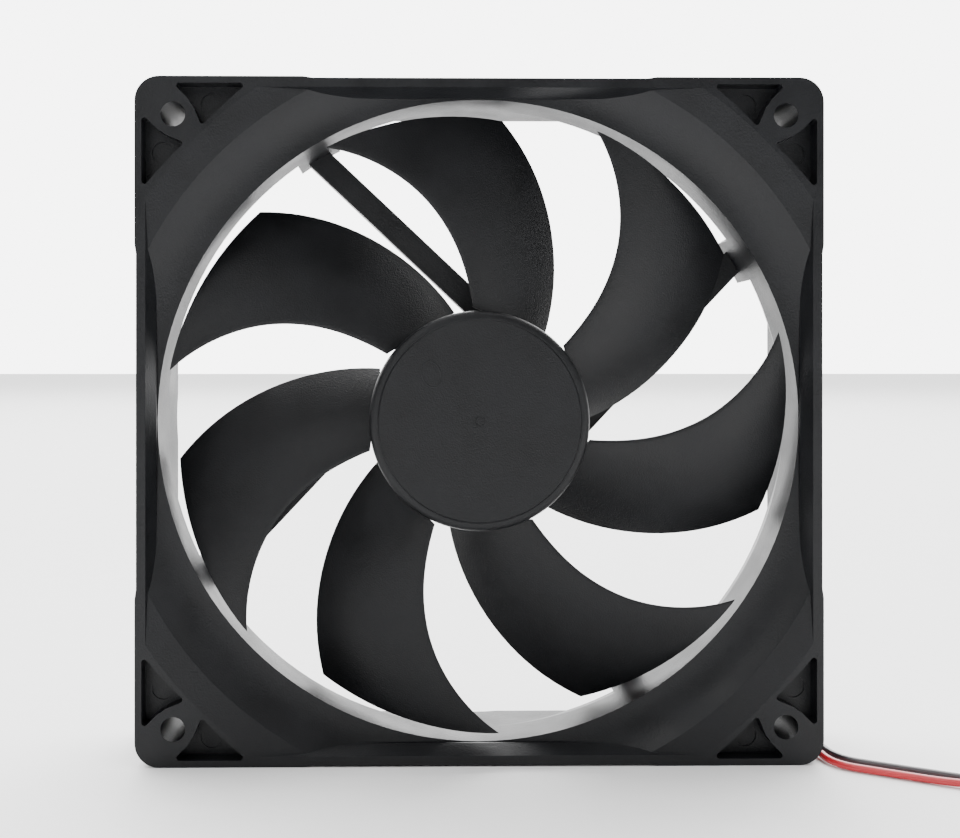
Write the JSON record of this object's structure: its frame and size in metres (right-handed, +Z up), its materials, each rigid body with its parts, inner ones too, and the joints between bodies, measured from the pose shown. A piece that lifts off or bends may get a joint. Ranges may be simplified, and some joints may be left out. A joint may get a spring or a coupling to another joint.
{
  "type": "case fan",
  "caption": "Square axial fan for a computer case: open-cornered frame with a funnel inlet, swept blades on a motor hub, slanted struts and a two-wire lead.",
  "frame": {"origin": "centre of the frame's box, on the rotor's axis at half the frame's depth", "axes": "+X right seen from the intake, +Y the way the air leaves, along the rotor's axis, +Z up"},
  "size_m": [0.1938, 0.0433, 0.14],
  "materials": {
    "frame_plastic": "black glass-filled PBT, satin with a fine moulded grain",
    "impeller_plastic": "black PBT, satin, slightly smoother than the frame",
    "brass": "turned",
    "bronze": "sintered, oiled",
    "nylon": "natural nylon",
    "electrical_steel": "varnished laminations",
    "copper_wire": "enamelled copper wire",
    "tin": "tin plate and solder",
    "board_laminate": "green solder mask",
    "chip_epoxy": "moulded epoxy",
    "chip_ceramic": "ceramic",
    "label_film": "blank silver film",
    "red_insulation": "red PVC insulation, semi-gloss",
    "black_insulation": "black PVC insulation, semi-gloss",
    "connector_nylon": "natural white nylon",
    "yoke_steel": "zinc-plated sheet steel",
    "magnet_ferrite": "plastic-bonded ferrite",
    "shaft_steel": "ground steel"
  },
  "bodies": {
    "stator": {"frame": "frame_plastic", "bearing_tube": "brass", "sleeve_bearing": "bronze", "oil_seal_ring": "nylon", "thrust_pad": "nylon", "bearing_end_cap": "nylon", "stator_laminations": "electrical_steel", "bobbin_front": "nylon", "bobbin_rear": "nylon", "stator_windings": "copper_wire", "terminal_pins": "tin", "circuit_board": "board_laminate", "hall_driver_chip": "chip_epoxy", "chip_capacitor": "chip_ceramic", "chip_resistor": "chip_epoxy", "supply_diode": "chip_epoxy", "solder_joints": "tin", "rear_label": "label_film", "red_lead_inner": "red_insulation", "black_lead_inner": "black_insulation", "red_lead": "red_insulation", "black_lead": "black_insulation", "lead_coil": "black_insulation", "connector_housing": "connector_nylon", "crimp_terminals": "tin"},
    "rotor": {"impeller": "impeller_plastic", "rotor_yoke": "yoke_steel", "ring_magnet": "magnet_ferrite", "shaft": "shaft_steel", "shaft_boss": "brass", "oil_slinger": "nylon", "shaft_clip": "shaft_steel"}
  },
  "joints": [
    {"name": "rotor_spin", "type": "hinge", "parent": "stator", "child": "rotor", "pos_m": [0, 0, 0], "axis": [0, -1, 0], "continuous": true}
  ]
}
